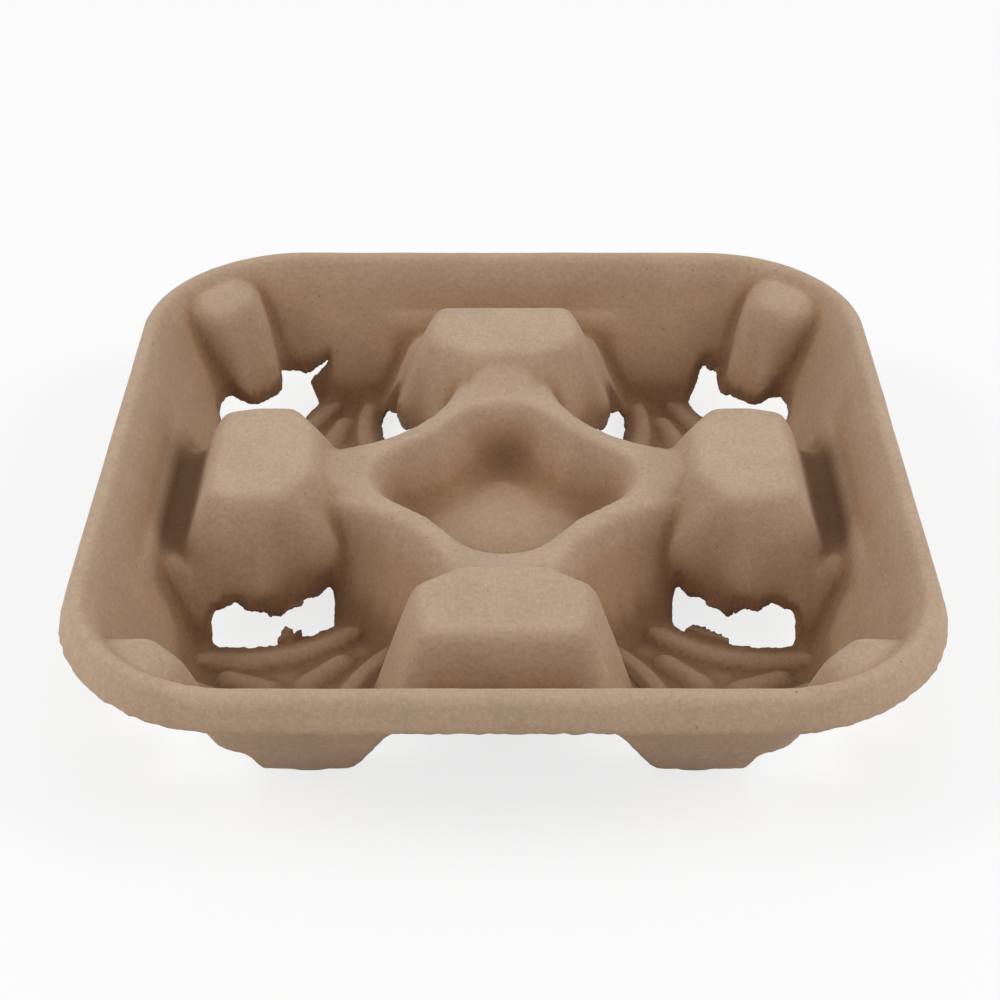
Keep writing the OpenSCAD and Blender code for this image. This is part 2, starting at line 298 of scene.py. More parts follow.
@dataclass
class RolledRim:
    """Rolled crest and trimmed skirt around the tray, in millimetres."""

    half: float
    crest_z: float
    corner_r: float = 46.0
    skirt_reach: float = 5.0
    skirt_drop: float = 8.4
    roll_r: float = 3.0
    stations: int = 752
    rings: int = 9
    base: np.ndarray = field(init=False)
    aim: np.ndarray = field(init=False)

    def __post_init__(self) -> None:
        """Spaces the stations evenly along the crest, each with its direction outward."""
        axis = self.half - self.corner_r
        crest_r = self.corner_r - self.skirt_reach
        quarter = self.stations // 4
        run = np.arange(quarter) / quarter * (2 * axis + crest_r * math.pi / 2)
        turn = np.maximum(run - 2 * axis, 0.0) / crest_r
        base = np.stack([np.full(quarter, axis), np.minimum(run - axis, axis)], axis=1)
        aim = np.stack([np.cos(turn), np.sin(turn)], axis=1)
        turns = [np.linalg.matrix_power(QUARTER_TURN, k).T for k in range(4)]
        self.base = np.vstack([base @ t for t in turns])
        self.aim = np.vstack([aim @ t for t in turns])

    @property
    def outside(self) -> int:
        """Number of points on the rings outside the crest."""
        return self.stations * self.rings

    def ring(self, inset: float) -> np.ndarray:
        """Gives the stations' plan points at a distance inside the skirt edge."""
        return self.base + self.aim * (self.corner_r - inset)

    def inset(self, plan: np.ndarray) -> np.ndarray:
        """Measures how far plan points lie inside the skirt edge.

        Args:
            plan: Points on the plan, one a row.

        Returns:
            One distance a point, negative outside.
        """
        beyond = np.abs(plan) - (self.half - self.corner_r)
        corner = np.linalg.norm(np.maximum(beyond, 0.0), axis=1)
        return self.corner_r - corner - np.minimum(beyond.max(axis=1), 0.0)

    def folded_in(self, plan: np.ndarray) -> np.ndarray:
        """Mirrors plan points that lie outside the crest to the inside of it.

        Args:
            plan: Points on the plan, one a row.

        Returns:
            The points, all inside the crest.
        """
        beyond = np.maximum(np.abs(plan) - (self.half - self.corner_r), 0.0)
        length = np.maximum(np.linalg.norm(beyond, axis=1), TINY)
        past = np.maximum(self.skirt_reach - self.inset(plan), 0.0)
        return plan - np.sign(plan) * beyond * (2 * past / length)[:, None]

    def roll_height(self, plan: np.ndarray) -> np.ndarray:
        """Gives the height of the roll's inner side over plan points, or zero away from it.

        Args:
            plan: Points on the plan, one a row.

        Returns:
            One height a point.
        """
        off = self.inset(plan) - self.skirt_reach
        rise = np.sqrt(np.maximum(self.roll_r ** 2 - off ** 2, 0.0))
        return np.where(rise > self.roll_r / 2, self.crest_z - self.roll_r + rise, 0.0)

    def profile(self) -> tuple[np.ndarray, np.ndarray]:
        """Walks the rim's section from just outside the crest to the skirt edge.

        Returns:
            Points as inset and height, and their normals as outward and up, one a row.
        """
        fall = self.skirt_drop - self.roll_r
        reach = math.hypot(self.skirt_reach, fall)
        lean = math.acos(self.roll_r / reach) - math.atan2(fall, self.skirt_reach)
        arc = self.roll_r * (math.pi / 2 - lean)
        straight = math.sqrt(reach ** 2 - self.roll_r ** 2)
        run = np.arange(1, self.rings + 1) / self.rings * (arc + straight)
        turn = np.maximum(math.pi / 2 - run / self.roll_r, lean)
        normal = np.stack([np.cos(turn), np.sin(turn)], axis=1)
        slip = np.maximum(run - arc, 0.0)[:, None] * np.array([math.sin(lean), -math.cos(lean)])
        out_up = normal * self.roll_r + slip
        inset = self.skirt_reach - out_up[:, 0]
        height = self.crest_z - self.roll_r + out_up[:, 1]
        return np.stack([inset, height], axis=1), normal


@dataclass
class PressedSurface:
    """Upper surface of the tray as a raster of heights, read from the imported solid, in millimetres."""

    rim: RolledRim
    step: float = 0.5
    margin: float = 8.0
    edge_soft: float = 0.7
    # Standard deviations that a bell curve reaches, and the weight that keeps a fit solvable in a gap
    bell_reach: float = 3.0
    least_weight: float = 1e-9
    # How far the surroundings are looked over for the painted shade, in millimetres, and from how many
    # raster steps away
    sky_reach: float = 60.0
    sky_near: int = 2
    sky_turns: int = 16
    sky_steps: int = 18
    half: float = field(init=False)
    seen: np.ndarray = field(init=False)
    heights: np.ndarray = field(init=False)

    def __post_init__(self) -> None:
        """Casts a ray down on the solid at every point of the raster."""
        reach = self.rim.half - self.rim.skirt_reach + self.margin
        count = 2 * round(reach / self.step) + 1
        self.half = (count - 1) / 2 * self.step
        line = np.linspace(-self.half, self.half, count)
        plan = np.stack(np.meshgrid(line, line, indexing="ij"), axis=-1).reshape(-1, 2)
        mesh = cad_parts[NODE].data
        tree = BVHTree.FromPolygons(
            [v.co for v in mesh.vertices], [p.vertices for p in mesh.polygons]
        )
        top = 2 * self.rim.crest_z * MM
        down = Vector((0.0, 0.0, -1.0))
        hits = [tree.ray_cast(Vector((x, y, top)), down)[0] for x, y in self.rim.folded_in(plan) * MM]
        shape = (count, count)
        self.seen = np.array([hit is not None for hit in hits]).reshape(shape)
        self.heights = np.array([0.0 if hit is None else hit.z / MM for hit in hits]).reshape(shape)

    def bell(self, radius: float) -> tuple[np.ndarray, np.ndarray]:
        """Gives the distances and weights of a bell curve on the raster.

        Args:
            radius: Standard deviation of the curve.

        Returns:
            Distances from the middle, and weights that add up to one.
        """
        reach = math.ceil(self.bell_reach * radius / self.step)
        arm = np.arange(-reach, reach + 1) * self.step
        weight = np.exp(-0.5 * (arm / radius) ** 2)
        return arm, weight / weight.sum()

    def fitted(self, radius: float) -> np.ndarray:
        """Fits a plane to the heights around every raster point, so that gaps don't bend the surface.

        Args:
            radius: Standard deviation of the weights, which sets how soft the surface gets.

        Returns:
            Height, slope along X and slope along Y, as three rasters.
        """
        arm, weight = self.bell(radius)
        kernels = [weight, weight * arm, weight * arm ** 2]
        seen = self.seen.astype(float)

        def moment(grid: np.ndarray, along_x: int, along_y: int) -> np.ndarray:
            """Sums a raster with a weight and powers of the distances."""
            return slide(slide(grid, kernels[along_x], 0), kernels[along_y], 1)

        powers = [(0, 0), (1, 0), (0, 1)]
        square = [[moment(seen, a[0] + b[0], a[1] + b[1]) for b in powers] for a in powers]
        right = [moment(seen * self.heights, *a) for a in powers]
        square = np.moveaxis(np.array(square), (0, 1), (2, 3)) + np.eye(3) * self.least_weight
        solved = np.linalg.solve(square, np.moveaxis(np.array(right), 0, 2)[..., None])
        return np.moveaxis(solved[..., 0], 2, 0)

    def blurred(self, grid: np.ndarray, radius: float) -> np.ndarray:
        """Blurs a raster with a bell curve of the given radius."""
        weight = self.bell(radius)[1]
        return slide(slide(grid, weight, 0), weight, 1)

    def gap_share(self) -> np.ndarray:
        """Gives the share of open space around every raster point, with its slopes, as three rasters."""
        share = self.blurred(1.0 - self.seen, self.edge_soft)
        return np.stack([share, *np.gradient(share, self.step)])

    def sky_share(self) -> np.ndarray:
        """Measures how much of the sky every raster point sees over what stands around it.

        Returns:
            Raster of shares, one on open ground and near zero at the foot of a cleft.
        """
        count = self.seen.shape[0]
        reach = round(self.sky_reach / self.step)
        wide = np.pad(self.heights, reach)
        share = np.zeros_like(self.heights)
        for turn in np.arange(self.sky_turns) * (2 * math.pi / self.sky_turns):
            horizon = np.zeros_like(self.heights)
            for run in np.geomspace(self.sky_near, reach, self.sky_steps):
                i = reach + round(run * math.cos(turn))
                j = reach + round(run * math.sin(turn))
                rise = wide[i:i + count, j:j + count] - self.heights
                horizon = np.maximum(horizon, rise / (run * self.step))
            share += 1 / (1 + horizon ** 2)
        return share / self.sky_turns

    def at(self, grids: np.ndarray, plan: np.ndarray) -> np.ndarray:
        """Reads rasters between their points.

        Args:
            grids: Rasters, stacked.
            plan: Points on the plan, one a row.

        Returns:
            One row of values a raster.
        """
        place = (plan + self.half) / self.step
        cell = np.clip(np.floor(place).astype(int), 0, self.seen.shape[0] - 2)
        u, v = (place - cell).T
        i, j = cell.T
        near = grids[:, i, j] * (1 - v) + grids[:, i, j + 1] * v
        far = grids[:, i + 1, j] * (1 - v) + grids[:, i + 1, j + 1] * v
        return near * (1 - u) + far * u


@dataclass
class PulpShell:
    """The one-piece moulded shell, laid over the upper surface and given its wall, in millimetres."""

    rim: RolledRim
    surface: PressedSurface
    torn: list[TornPlace]
    wall: float = 2.0
    # Reach of the close and the wide fit, and the bend and shares of opening that choose between them
    soft: float = 0.65
    wall_soft: float = 2.4
    facet: float = 0.14
    facet_reach: float = 1.6
    bend_fade: tuple[float, float] = (0.6, 0.9)
    # Spacing of the points in the open, along edges and at torn places, and the width of those bands
    spacing: float = 1.3
    edge_spacing: float = 0.6
    torn_spacing: float = 0.3
    edge_band: float = 1.8
    torn_band: float = 0.9
    # Spacings that stay free inside the crest, and edge spacings that points reach into an opening
    crest_gap: float = 0.7
    spill: float = 2.0
    # Share of the spacing within which points move onto an edge, and the trial step that finds the way
    snap_share: float = 0.35
    snap_passes: int = 2
    nudge: float = 0.05
    least_slope: float = 0.5
    merge_gap: float = 1e-6
    # Share of opening at an edge, and the depth, size and reach of its coarse and fine tears
    edge_share: float = 0.5
    ragged: float = 0.42
    ragged_size: float = 2.4
    ragged_reach: float = 4.0
    fine_share: float = 0.6
    fine_times: float = 3.0
    fray_size: float = 0.8
    # Section of a torn edge: thinned, rounded, fuzzy and curled down
    thin_share: float = 0.4
    bulge: float = 0.25
    fuzz_size: float = 0.9
    curl: float = 0.8
    curl_run: float = 4.0
    # Depth and size of what makes the two sides uneven
    swell: float = 0.12
    swell_size: float = 18.0
    ripple: float = 0.04
    ripple_size: float = 4.5
    pit: float = 0.10
    pit_size: float = 2.4
    # Painted shade: a dark band along torn edges of steep walls, relief (creases darker, ridges paler) in
    # deep places, skirt and underside
    edge_shade: float = 0.5
    edge_shade_run: float = 4.0
    shaded_steepness: tuple[float, float] = (1.3, 2.2)
    relief_shade: float = 0.75
    relief_size: float = 2.0
    relief_range: tuple[float, float] = (-0.24, 0.1)
    deep_sky: tuple[float, float] = (0.6, 0.85)
    sky_soft: float = 1.4
    skirt_shade: float = 0.8
    underside_shade: float = 0.72
    # Rasters read from the surface
    gaps: np.ndarray = field(init=False)
    leaning: np.ndarray = field(init=False)
    steep: np.ndarray = field(init=False)
    smooth: np.ndarray = field(init=False)
    sky: np.ndarray = field(init=False)
    # The upper side, and its open edges with the directions that they face
    points: np.ndarray = field(init=False)
    normals: np.ndarray = field(init=False)
    edges: np.ndarray = field(init=False)
    outward: np.ndarray = field(init=False)

    def __post_init__(self) -> None:
        """Reads the smooth surface, its wider slopes and the openings from the raster.

        The close fit holds at real bends and the wide fit elsewhere, which hides the solid's flat facets.
        """
        self.gaps = self.surface.gap_share()
        self.leaning = self.surface.fitted(self.wall_soft)
        self.steep = np.sqrt(1 + self.leaning[1] ** 2 + self.leaning[2] ** 2)[None]
        close = self.surface.fitted(self.soft)
        apart = (close[0] - self.leaning[0]) / self.steep[0] * self.surface.seen
        apart = np.sqrt(self.surface.blurred(apart ** 2, self.facet_reach))
        bend = eased(apart, self.facet, 2 * self.facet) * (1 - eased(self.gaps[0], *self.bend_fade))
        self.smooth = self.leaning + (close - self.leaning) * bend
        # Painted shade: the share of sky seen over the surroundings, with creases darker and ridges paler in
        # deep places, sets how pale the pulp is coloured
        relief = self.smooth[0] - self.surface.blurred(self.smooth[0], self.relief_size)
        relief = np.clip(self.relief_shade * relief / self.steep[0], *self.relief_range)
        sky = self.surface.sky_share()
        deep = 1 - eased(sky, *self.deep_sky)
        self.sky = (self.surface.blurred(sky, self.sky_soft) + relief * deep)[None]

    def pulp(self, plan: np.ndarray) -> np.ndarray:
        """Measures how far plan points lie on the pulp side of the nearest ragged edge.

        Args:
            plan: Points on the plan, one a row.

        Returns:
            One distance a point, negative in an opening.
        """
        share, along_x, along_y = self.surface.at(self.gaps, plan)
        depth = (self.edge_share - share) / (np.hypot(along_x, along_y) + TINY)
        for place in self.torn:
            stroke = place.distance(plan)
            frayed = (stroke < self.edge_band) if place.fray else np.zeros(len(plan), bool)
            stroke[frayed] += place.fray * unevenness(plan[frayed], self.fray_size, Unevenness.FRAY)
            depth = np.minimum(depth, stroke) if place.kind is Torn.AWAY else np.maximum(depth, -stroke)
        near = np.abs(depth) < self.ragged_reach * self.ragged
        coarse = unevenness(plan[near], self.ragged_size, Unevenness.TEAR)
        fine = unevenness(plan[near], self.ragged_size / self.fine_times, Unevenness.FINE_TEAR)
        steep = self.surface.at(self.steep, plan[near])[0]
        depth[near] += self.ragged * (coarse + self.fine_share * fine) / steep
        return depth

    def grade(self, plan: np.ndarray, depth: np.ndarray) -> np.ndarray:
        """Grades plan points by how close together the shell's points have to lie there.

        Args:
            plan: Points on the plan, one a row.
            depth: Their depth in the pulp.

        Returns:
            Zero away from edges, one along them and two at torn places, one grade a point.
        """
        grade = (depth < self.edge_band).astype(int)
        for place in self.torn:
            at_stroke = np.abs(place.distance(plan)) < self.torn_band
            grade[at_stroke & (np.abs(depth) < self.torn_band)] = 2
        return grade

    def spread(self) -> tuple[np.ndarray, np.ndarray]:
        """Spreads plan points inside the crest, close together along the edges of the openings.

        Returns:
            Points on the plan, with the crest's stations first, and the spacing around each.
        """
        chosen = [self.rim.ring(self.rim.skirt_reach)]
        around = [np.full(self.rim.stations, self.spacing)]
        for grade, spacing in enumerate((self.spacing, self.edge_spacing, self.torn_spacing)):
            row = spacing * math.sqrt(3) / 2
            reach = self.rim.half
            y = np.arange(-reach, reach, row)
            x = np.arange(-reach, reach, spacing)
            grid = np.stack(np.meshgrid(x, y, indexing="xy"), axis=-1)
            grid[1::2, :, 0] += spacing / 2
            plan = grid.reshape(-1, 2)
            plan = plan[self.rim.inset(plan) > self.rim.skirt_reach + self.crest_gap * spacing]
            depth = self.pulp(plan)
            inside = depth > -self.spill * self.edge_spacing
            plan = plan[(self.grade(plan, depth) == grade) & inside]
            chosen.append(plan)
            around.append(np.full(len(plan), spacing))
        return np.vstack(chosen), np.concatenate(around)

    def snapped(self) -> tuple[np.ndarray, np.ndarray]:
        """Spreads the points and moves those that nearly meet an edge onto it.

        Returns:
            Points on the plan, the crest's stations first, and their depth in the pulp, zero on an edge.
        """
        plan, around = self.spread()
        depth = self.pulp(plan)
        for _ in range(self.snap_passes):
            near = np.abs(depth) < self.snap_share * np.minimum(around, self.edge_spacing)
            slope = np.stack([
                self.pulp(plan[near] + self.nudge * axis) - depth[near] for axis in np.eye(2)
            ], axis=1) / self.nudge
            size = np.maximum((slope ** 2).sum(axis=1), self.least_slope ** 2)
            plan[near] -= slope * (depth[near] / size)[:, None]
            depth = self.pulp(plan)
        depth[near] = 0.0
        return plan, depth

    def clipped(self) -> tuple[np.ndarray, np.ndarray]:
        """Joins the points into triangles and cuts the openings out of them.

        Returns:
            Points on the plan, with the crest's stations first, and triangles of their numbers.
        """
        plan, depth = self.snapped()
        _, _, joined, origins, _, _ = delaunay_2d_cdt([Vector(p) for p in plan], [], [], 0, self.merge_gap)
        source = np.array([ids[0] for ids in origins])
        triangles = source[np.array(joined)]
        side = depth[triangles]
        kept = triangles[(side >= 0).all(axis=1) & (side > 0).any(axis=1)].tolist()
        crossings: dict[tuple[int, int], int] = {}
        added: list[np.ndarray] = []
        for corners in triangles[(side > 0).any(axis=1) & (side < 0).any(axis=1)].tolist():
            outline: list[int] = []
            for a, b in zip(corners, corners[1:] + corners[:1]):
                if depth[a] >= 0:
                    outline.append(a)
                if depth[a] * depth[b] < 0:
                    key = (min(a, b), max(a, b))
                    if key not in crossings:
                        share = depth[key[0]] / (depth[key[0]] - depth[key[1]])
                        crossings[key] = len(plan) + len(added)
                        added.append(plan[key[0]] * (1 - share) + plan[key[1]] * share)
                    outline.append(crossings[key])
            kept += [[outline[0], b, c] for b, c in zip(outline[1:], outline[2:])]
        plan = np.vstack([plan, added])
        used, numbers = np.unique(np.array(kept), return_inverse=True)
        return plan[used], numbers.reshape(-1, 3)

    def lay(self) -> np.ndarray:
        """Lays the triangles over the tray and runs them out to the skirt edge.

        Returns:
            Triangles of the upper side. Points and normals are kept on the shell.
        """
        plan, triangles = self.clipped()
        height = np.maximum(self.surface.at(self.smooth, plan)[0], self.rim.roll_height(plan))
        open_share = self.surface.at(self.gaps, plan)[0]
        for place in self.torn:
            height = place.settled(plan, height, open_share)
        slopes = self.surface.at(self.leaning, plan)[1:]
        facing = np.stack([-slopes[0], -slopes[1], np.ones(len(plan))], axis=1)
        points = [np.column_stack([plan, height])]
        normals = [facing / np.linalg.norm(facing, axis=1)[:, None]]
        count = self.rim.stations
        inner = np.arange(count)
        total = len(plan)
        strips = []
        for (inset, z), (out, up) in zip(*self.rim.profile()):
            points.append(np.column_stack([self.rim.ring(inset), np.full(count, z)]))
            normals.append(np.column_stack([self.rim.aim * out, np.full(count, up)]))
            outer = np.arange(total, total + count)
            strips.append(np.stack([inner, outer, np.roll(outer, -1)], axis=1))
            strips.append(np.stack([inner, np.roll(outer, -1), np.roll(inner, -1)], axis=1))
            inner = outer
            total += count
        self.points = np.vstack(points)
        self.normals = np.vstack(normals)
        self.trim_skirt(inner)
        return np.vstack([triangles, *strips])

    def trim_skirt(self, edge: np.ndarray) -> None:
        """Makes the edge of the skirt uneven, up and down and in and out.

        Args:
            edge: Numbers of the points along the edge.
        """
        trim = unevenness(self.points[edge], self.ragged_size, Unevenness.TRIM)
        self.points[edge, 2] += self.ragged * trim
        bumps = unevenness(self.points[edge], self.ragged_size, Unevenness.TRIM_BUMPS)
        self.points[edge, :2] += self.rim.aim * (self.ragged * bumps - self.ragged / 2)[:, None]

    def find_edges(self, triangles: np.ndarray) -> None:
        """Finds the open edges of the upper side and the directions that they face.

        Args:
            triangles: Triangles of the upper side.
        """
        pairs = np.vstack([triangles[:, [0, 1]], triangles[:, [1, 2]], triangles[:, [2, 0]]])
        keys = pairs[:, 0] * len(self.points) + pairs[:, 1]
        back = pairs[:, 1] * len(self.points) + pairs[:, 0]
        self.edges = pairs[~np.isin(back, keys)]
        along = self.points[self.edges[:, 1]] - self.points[self.edges[:, 0]]
        self.outward = np.zeros_like(self.points)
        for end in (0, 1):
            facing = np.cross(along, self.normals[self.edges[:, end]])
            np.add.at(self.outward, self.edges[:, end], facing)
        length = np.linalg.norm(self.outward, axis=1)[:, None]
        self.outward = np.where(length > 0, self.outward / np.maximum(length, TINY), 0.0)

    def painted_shades(self, run: np.ndarray) -> np.ndarray:
        """Tells how pale the pulp is painted by how open it lies, which is painted shade, with a painted
        dark band along torn edges of the walls.

        Args:
            run: Distance of the points of the upper side to the nearest torn edge, along the surface.

        Returns:
            One share a point of the upper side, zero where the pulp is darkest.
        """
        plan = self.points[:, :2]
        painted_shade = self.surface.at(self.sky, plan)[0]
        # Painted shade: the skirt darkens down its rings away from the open crest
        rings = np.linspace(1.0, self.skirt_shade, self.rim.rings)
        painted_shade[-self.rim.outside:] = np.repeat(rings, self.rim.stations)
        # Painted shade: a dark band along torn edges of steep walls
        wall = eased(self.surface.at(self.steep, plan)[0], *self.shaded_steepness)
        return np.clip(painted_shade - self.edge_shade * wall * np.exp(-(run / self.edge_shade_run) ** 2), 0.0, 1.0)

    def edge_run(self) -> np.ndarray:
        """Measures how far the points of the upper side lie from the nearest torn edge, along the surface.

        Returns:
            One distance a point, long outside the crest, where nothing is torn.
        """
        plan = self.points[:, :2]
        depth = self.pulp(plan)
        depth[-self.rim.outside:] = self.rim.corner_r
        return np.maximum(depth, 0.0) * self.surface.at(self.steep, plan)[0]

    def thicken(self, run: np.ndarray) -> np.ndarray:
        """Sets the underside off by the wall, thinner at torn edges, and makes both sides uneven.

        Args:
            run: Distance of the points of the upper side to the nearest torn edge, along the surface.

        Returns:
            Points of the underside, none below the floor.
        """
        wall = self.wall * (1 - self.thin_share * np.exp(-run / self.wall))
        swell = self.swell * unevenness(self.points, self.swell_size, Unevenness.SWELL)
        swell = swell + self.ripple * unevenness(self.points, self.ripple_size, Unevenness.RIPPLE)
        under = self.points - self.normals * wall[:, None]
        pits = self.pit * unevenness(under, self.pit_size, Unevenness.PITS)
        self.points = self.points + self.normals * swell[:, None]
        under = under + self.normals * (swell + pits)[:, None]
        under[:, 2] = np.maximum(under[:, 2], 0.0)
        return under

    def torn_middle(self, under: np.ndarray) -> np.ndarray:
        """Gives the points halfway through the wall, pushed out into a fuzzy round at the edges.

        Args:
            under: Points of the underside.

        Returns:
            One point for each of the upper side, none below the floor.
        """
        middle = (self.points + under) / 2
        fuzz = self.bulge * (1 + unevenness(middle, self.fuzz_size, Unevenness.FUZZ))
        middle = middle + self.outward * fuzz[:, None]
        middle[:, 2] = np.maximum(middle[:, 2], 0.0)
        return middle

    def closed(self, upper: np.ndarray, rims: np.ndarray) -> np.ndarray:
        """Joins the upper side and the underside along their edges.

        Args:
            upper: Triangles of the upper side.
            rims: Numbers of the points on the open edges, whose middle points follow the underside.

        Returns:
            Triangles of the closed shell.
        """
        count = len(self.points)
        number = np.zeros(count, int)
        number[rims] = 2 * count + np.arange(len(rims))
        a, b = self.edges.T
        middle_a, middle_b = number[a], number[b]
        return np.vstack([
            upper,
            upper[:, ::-1] + count,
            np.stack([b, a, middle_a], axis=1),
            np.stack([b, middle_a, middle_b], axis=1),
            np.stack([middle_b, middle_a, a + count], axis=1),
            np.stack([middle_b, a + count, b + count], axis=1),
        ])

    def build(self, material: bpy.types.Material) -> bpy.types.Object:
        """Builds the closed shell and puts it in the place of the solid.

        Args:
            material: Finish of the pulp.

        Returns:
            The shell.
        """
        upper = self.lay()
        self.find_edges(upper)
        run = self.edge_run()
        drop = self.curl * np.maximum(1 - run / self.curl_run, 0.0) ** 2
        self.points -= self.normals * drop[:, None]
        painted_shade = self.painted_shades(run)
        under = self.thicken(run)
        rims = np.unique(self.edges)
        points = np.vstack([self.points, under, self.torn_middle(under)[rims]]) * MM
        mesh = bpy.data.meshes.new(PIECE)
        mesh.from_pydata(points.tolist(), [], self.closed(upper, rims).tolist())
        mesh.shade_smooth()
        # Painted shade: the underside is coloured as lying in shade, and the torn middles as their edge
        painted_shades = np.concatenate([painted_shade, np.full(len(under), self.underside_shade), painted_shade[rims]])
        mesh.attributes.new(SHADE_ATTRIBUTE, "FLOAT", "POINT").data.foreach_set("value", painted_shades.astype(np.float32))
        mesh.materials.append(material)
        shell = bpy.data.objects.new(PIECE, mesh)
        bpy.context.scene.collection.objects.link(shell)
        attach(shell, BODY)
        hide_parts(NODE)
        return shell


@dataclass(frozen=True)
class Shade:
    """Painted shade: colour of the pulp where it sees a given share of the sky."""

    openness: float
    colour: str


@dataclass(frozen=True)
class Fade:
    """A share that fades from one value to another while a pattern's own value crosses a window."""

    low: float
    high: float
    start: float
    end: float

    def sockets(self) -> dict[str, float]:
        """Gives the fade as the socket values that map a pattern."""
        return {"From Min": self.low, "From Max": self.high, "To Min": self.start, "To Max": self.end}


@dataclass(frozen=True)
class MouldedPulp:
    """Moulded paper pulp, pressed wet on a wire mould and dried.

    It is matte and soft to the eye, with a felted grain, short pale fibres lying all ways, a few dark
    specks of bark and ink, and cloudy patches where the slurry was thicker. Its colour also holds painted
    shade: pale on open tops, browner the deeper it lies in a hollow, and darker in a band beside a torn
    edge.
    """

    # Painted shade: colours by the share of sky seen, from open tops down to creases
    top: Shade = Shade(1.0, "#b49b83")
    bank: Shade = Shade(0.8, "#af9379")
    wall: Shade = Shade(0.6, "#a58568")
    foot: Shade = Shade(0.5, "#a07f61")
    cleft: Shade = Shade(0.35, "#8e6d4f")
    crease: Shade = Shade(0.15, "#7b593e")
    roughness: float = 0.92
    specular: float = 0.25
    sheen: float = 0.15
    cloud_mm: float = 16.0
    clouds: Fade = Fade(0.34, 0.66, 0.95, 1.05)
    grain_mm: float = 1.3
    grain_depth_mm: float = 0.16
    grain_strength: float = 0.8
    grains: Fade = Fade(0.3, 0.7, 0.90, 1.09)
    lump_mm: float = 2.2
    lump_depth_mm: float = 0.25
    lump_strength: float = 0.6
    # Real fibres are a few hundredths of a millimetre wide, and are drawn as coarse as they need to show
    fibre_width_mm: float = 0.45
    fibre_length_mm: float = 3.5
    fibre_turns: tuple[float, float, float] = (20.0, 80.0, 140.0)
    fibres: Fade = Fade(0.62, 0.76, 1.0, 1.12)
    speck: str = "#5d432f"
    speck_mm: float = 6.0
    flecks: Fade = Fade(0.07, 0.03, 0.0, 0.5)

    def material(self) -> bpy.types.Material:
        """Builds the finish from noise in the tray's own space.

        Returns:
            The material.
        """
        material, tree = new_tree("moulded_paper_pulp")
        space = add_node(tree, "ShaderNodeTexCoord").outputs["Object"]
        grain = add_node(
            tree, "ShaderNodeTexNoise",
            values={"Scale": per_metre(self.grain_mm), "Detail": 3.0, "Roughness": 0.7},
            links={"Vector": space},
        ).outputs["Fac"]
        shade = add_node(
            tree, "ShaderNodeMapRange", values=self.grains.sockets(), links={"Value": grain},
        ).outputs["Result"]
        colour = self.painted_shade_colour(tree)
        for share in (self.patches(tree, space), shade, self.strands(tree, space)):
            colour = add_node(
                tree, "ShaderNodeVectorMath", {"operation": "MULTIPLY"}, links={0: colour, 1: share},
            ).outputs["Vector"]
        colour = add_node(
            tree, "ShaderNodeMix", {"data_type": "RGBA"},
            values={"B": linear(self.speck)},
            links={"A": colour, "Factor": self.specks(tree, space)},
        ).outputs["Result"]
        shader = add_node(
            tree, "ShaderNodeBsdfPrincipled",
            values={
                "Roughness": self.roughness,
                "Specular IOR Level": self.specular,
                "Sheen Weight": self.sheen,
            },
            links={"Base Color": colour, "Normal": self.relief(tree, space, grain)},
        )
        add_node(tree, "ShaderNodeOutputMaterial", links={"Surface": shader.outputs["BSDF"]})
        return material

    def painted_shade_colour(self, tree: bpy.types.NodeTree) -> bpy.types.NodeSocket:
        """Colours the pulp by how open it lies, as painted shade.

        Args:
            tree: Tree of the material.

        Returns:
            The colour.
        """
        painted_shade = add_node(tree, "ShaderNodeAttribute", {"attribute_name": SHADE_ATTRIBUTE}).outputs["Fac"]
        ramp = add_node(tree, "ShaderNodeValToRGB", links={"Fac": painted_shade})
        stops = ramp.color_ramp.elements
        for number, shade in enumerate((self.crease, self.top)):
            stops[number].position = shade.openness
            stops[number].color = linear(shade.colour)
        for shade in (self.cleft, self.foot, self.wall, self.bank):
            stops.new(shade.openness).color = linear(shade.colour)
        return ramp.outputs["Color"]

    def patches(self, tree: bpy.types.NodeTree, space: bpy.types.NodeSocket) -> bpy.types.NodeSocket:
        """Clouds the pulp where the slurry was thicker or thinner.

        Args:
            tree: Tree of the material.
            space: Position on the tray.

        Returns:
            How much paler the pulp is, about one.
        """
        cloud = add_node(
            tree, "ShaderNodeTexNoise",
            values={"Scale": per_metre(self.cloud_mm), "Detail": 4.0, "Roughness": 0.55},
            links={"Vector": space},
        ).outputs["Fac"]
        return add_node(
            tree, "ShaderNodeMapRange", values=self.clouds.sockets(), links={"Value": cloud},
        ).outputs["Result"]

    def strands(self, tree: bpy.types.NodeTree, space: bpy.types.NodeSocket) -> bpy.types.NodeSocket:
        """Draws short pale fibres that lie level in three directions.

        Args:
            tree: Tree of the material.
            space: Position on the tray.

        Returns:
            How much paler the pulp is, one where no fibre shows.
        """
        found = None
        for turn in self.fibre_turns:
            turned = add_node(
                tree, "ShaderNodeMapping",
                values={
                    "Rotation": (0.0, 0.0, math.radians(turn)),
                    "Scale": (
                        per_metre(self.fibre_width_mm),
                        per_metre(self.fibre_length_mm),
                        per_metre(self.fibre_width_mm),
                    ),
                },
                links={"Vector": space},
            ).outputs["Vector"]
            pattern = add_node(
                tree, "ShaderNodeTexNoise",
                values={"Scale": 1.0, "Detail": 1.0, "Distortion": 0.6},
                links={"Vector": turned},
            ).outputs["Fac"]
            share = add_node(
                tree, "ShaderNodeMapRange", values=self.fibres.sockets(), links={"Value": pattern},
            ).outputs["Result"]
            found = share if found is None else add_node(
                tree, "ShaderNodeMath", {"operation": "MAXIMUM"}, links={0: found, 1: share},
            ).outputs["Value"]
        return found

